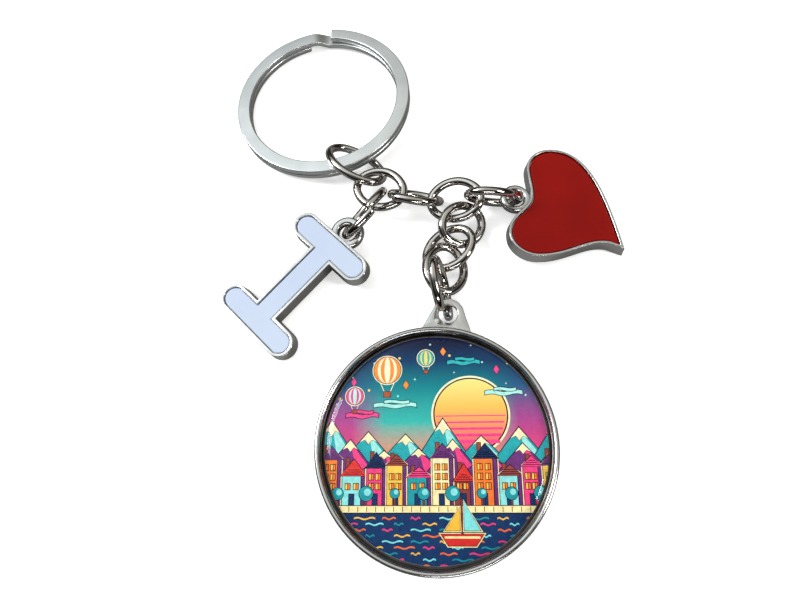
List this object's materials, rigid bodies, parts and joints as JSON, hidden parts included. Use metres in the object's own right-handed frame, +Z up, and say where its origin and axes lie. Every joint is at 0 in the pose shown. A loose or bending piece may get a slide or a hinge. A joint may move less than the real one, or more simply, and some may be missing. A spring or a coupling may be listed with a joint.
{
  "type": "keychain",
  "caption": "Souvenir keychain: a flat split ring with a wire-link chain holding an enamelled letter charm, an enamelled heart charm and a round domed medallion.",
  "frame": {"origin": "middle of the bounding box, on the table plane that the keychain lies on", "axes": "+Z up from the table, +Y from the medallion towards the split ring, +X from the letter towards the heart"},
  "size_m": [0.0663, 0.0962, 0.0094],
  "materials": {
    "ring_steel": "satin",
    "link_nickel": "polished",
    "charm_nickel": "polished",
    "white_enamel": "gloss",
    "red_enamel": "gloss",
    "printed_disc": "matte",
    "clear_resin": "gloss"
  },
  "bodies": {
    "split_ring": {"split_ring": "ring_steel"},
    "link_ring": {"link_ring": "link_nickel"},
    "link_hub": {"link_hub": "link_nickel"},
    "link_riser": {"link_riser": "link_nickel"},
    "link_fork": {"link_fork": "link_nickel"},
    "link_heart": {"link_heart": "link_nickel"},
    "link_drop_a": {"link_drop_a": "link_nickel"},
    "link_drop_b": {"link_drop_b": "link_nickel"},
    "link_drop_c": {"link_drop_c": "link_nickel"},
    "link_medallion": {"link_medallion": "link_nickel"},
    "link_letter": {"link_letter": "link_nickel"},
    "letter": {"letter_body": "charm_nickel", "letter_enamel": "white_enamel"},
    "heart": {"heart_body": "charm_nickel", "heart_enamel": "red_enamel"},
    "medallion": {"medallion_bezel": "charm_nickel", "medallion_print": "printed_disc", "medallion_dome": "clear_resin"}
  },
  "joints": [
    {"name": "link_ring_swing", "type": "hinge", "parent": "split_ring", "child": "link_ring", "pos_m": [-0.0085, 0.02, 0.0027], "axis": [0, 0, 1], "range_deg": [-28, 0]},
    {"name": "link_hub_swing", "type": "hinge", "parent": "link_ring", "child": "link_hub", "pos_m": [-0.0099, 0.0143, 0.0029], "axis": [-0.7851, -0.6151, -0.072], "range_deg": [0, 32]},
    {"name": "link_riser_swing", "type": "hinge", "parent": "link_hub", "child": "link_riser", "pos_m": [-0.0034, 0.0117, 0.0029], "axis": [-0.5712, -0.3901, 0.7222], "range_deg": [0, 26]},
    {"name": "link_fork_swing", "type": "hinge", "parent": "link_riser", "child": "link_fork", "pos_m": [0.0025, 0.0105, 0.0029], "axis": [-0.5018, -0.6767, -0.5388], "range_deg": [0, 20]},
    {"name": "link_heart_swing", "type": "hinge", "parent": "link_fork", "child": "link_heart", "pos_m": [0.0106, 0.0097, 0.0045], "axis": [-0.063, -0.8733, -0.4831], "range_deg": [0, 60]},
    {"name": "heart_swing", "type": "hinge", "parent": "link_heart", "child": "heart", "pos_m": [0.0168, 0.0099, 0.0021], "axis": [0, 0, 1], "range_deg": [-12, 24]},
    {"name": "link_drop_a_swing", "type": "hinge", "parent": "link_fork", "child": "link_drop_a", "pos_m": [0.0089, 0.0085, 0.0028], "axis": [0.8237, -0.1609, -0.5438], "range_deg": [-40, 0]},
    {"name": "link_drop_b_swing", "type": "hinge", "parent": "link_drop_a", "child": "link_drop_b", "pos_m": [0.0084, 0.0024, 0.0017], "axis": [-0.3709, -0.04, 0.9278], "range_deg": [0, 35]},
    {"name": "link_drop_c_swing", "type": "hinge", "parent": "link_drop_b", "child": "link_drop_c", "pos_m": [0.0069, -0.0012, 0.0028], "axis": [-0.7922, 0.5942, 0.139], "range_deg": [0, 30]},
    {"name": "link_medallion_swing", "type": "hinge", "parent": "link_drop_c", "child": "link_medallion", "pos_m": [0.0053, -0.0062, 0.0025], "axis": [0, 0, 1], "range_deg": [-12, 10]},
    {"name": "medallion_swing", "type": "hinge", "parent": "link_medallion", "child": "medallion", "pos_m": [0.0048, -0.01, 0.002], "axis": [0, 0, 1], "range_deg": [-12, 35]},
    {"name": "link_letter_swing", "type": "hinge", "parent": "link_hub", "child": "link_letter", "pos_m": [-0.0087, 0.0102, 0.0029], "axis": [0, 0, 1], "range_deg": [-3, 14]},
    {"name": "letter_swing", "type": "hinge", "parent": "link_letter", "child": "letter", "pos_m": [-0.0119, 0.0042, 0.0027], "axis": [0.143, 0.236, -0.9612], "range_deg": [0, 44]}
  ]
}
